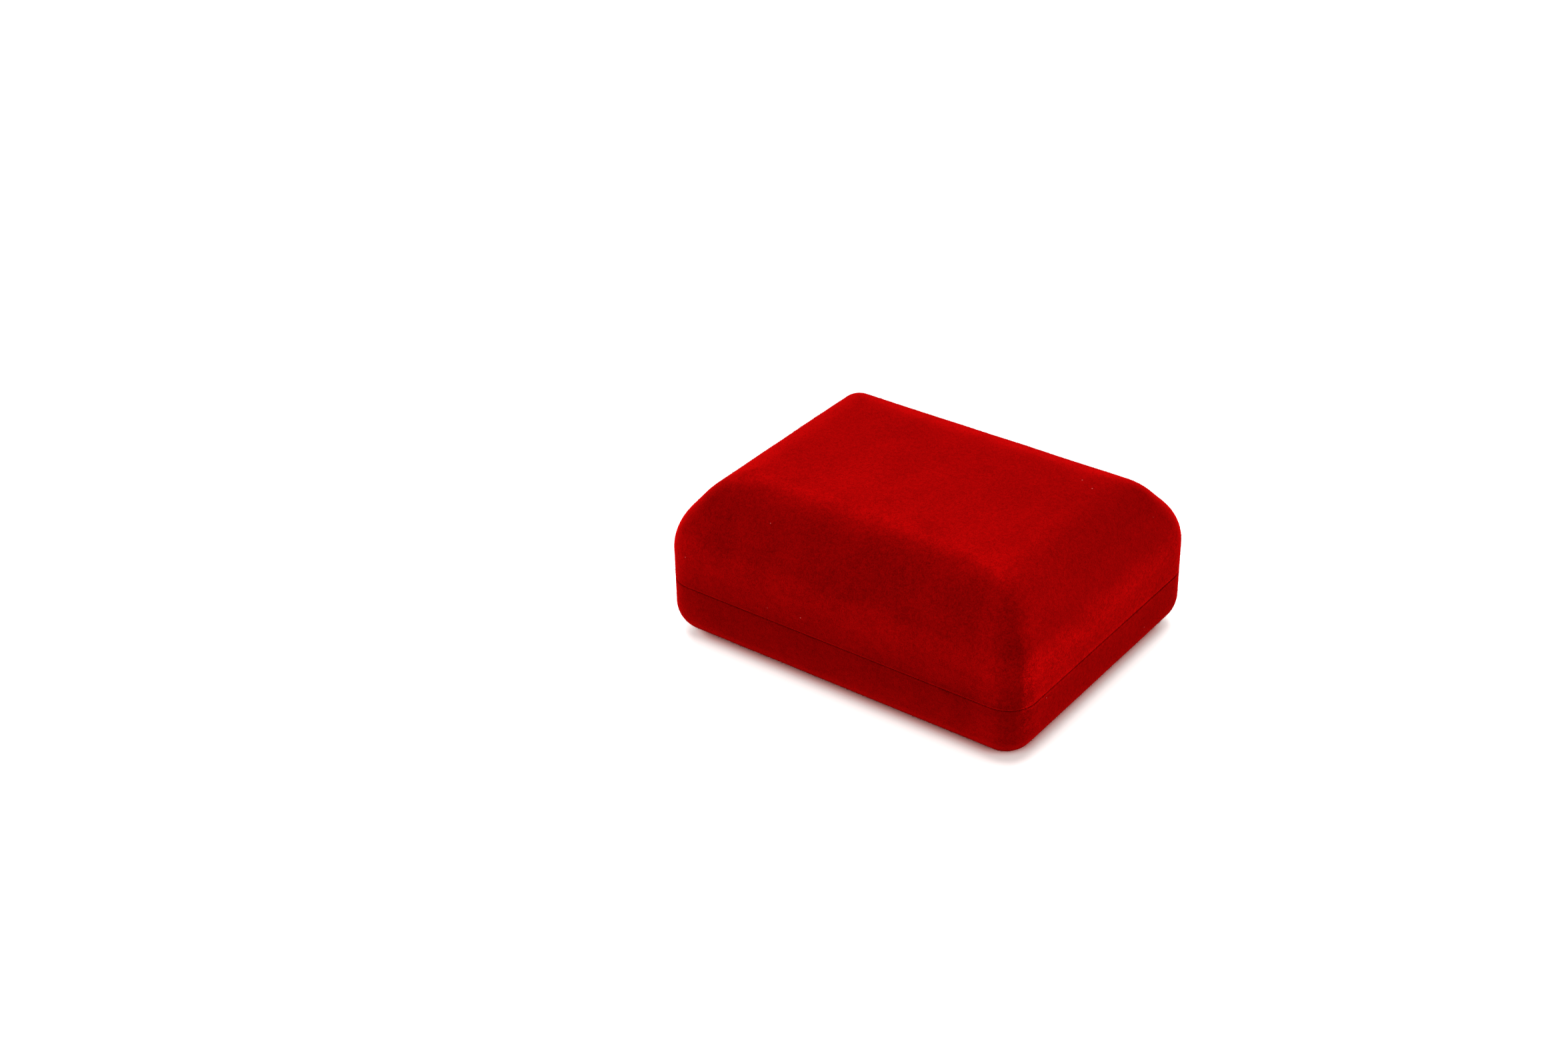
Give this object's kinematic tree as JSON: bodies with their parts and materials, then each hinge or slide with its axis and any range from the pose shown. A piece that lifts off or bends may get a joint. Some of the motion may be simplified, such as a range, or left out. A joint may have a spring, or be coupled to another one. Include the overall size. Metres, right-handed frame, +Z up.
{
  "type": "cufflink box",
  "caption": "Rounded flocked cufflink box: a sloped lid opens on a riveted rear hinge with snap clips, over a padded insert with cufflink slots and a satin lid pad.",
  "frame": {"origin": "middle of the underside, on the surface that the box stands on", "axes": "+X along the hinge and the long side, -Y towards the front that opens, +Z up"},
  "size_m": [0.085, 0.066, 0.0361],
  "materials": {
    "red_flock": "short nylon flock, bright red, dark seen face on and lighter at a grazing angle",
    "red_velvet_lining": "short red velvet on card",
    "ivory_satin": "glossy ivory satin",
    "grey_card": "plain grey board",
    "white_foam": "open-cell foam",
    "brassed_steel": "brass-plated pressed steel, lightly rubbed",
    "bright_spring_steel": "bright drawn and rolled spring steel"
  },
  "bodies": {
    "base": {"base_shell": "red_flock", "base_collar": "red_velvet_lining", "insert_board": "grey_card", "insert_foam": "white_foam", "insert_cover": "red_velvet_lining", "hinge_base_leaf": "brassed_steel", "hinge_pin": "bright_spring_steel", "hinge_clip_left": "bright_spring_steel", "hinge_clip_right": "bright_spring_steel", "base_rivet_1": "brassed_steel", "base_rivet_2": "brassed_steel", "base_rivet_3": "brassed_steel"},
    "lid": {"lid_shell": "red_flock", "lid_skirt": "ivory_satin", "lid_pad_board": "grey_card", "lid_pad_foam": "white_foam", "lid_pad_cover": "ivory_satin", "hinge_lid_leaf": "brassed_steel", "lid_rivet_1": "brassed_steel", "lid_rivet_2": "brassed_steel", "lid_rivet_3": "brassed_steel"}
  },
  "joints": [
    {"name": "lid_hinge", "type": "hinge", "parent": "base", "child": "lid", "pos_m": [0, 0.0318, 0.0127], "axis": [-1, 0, 0], "range_deg": [0, 100], "deforming": ["hinge_clip_left", "hinge_clip_right"]}
  ]
}
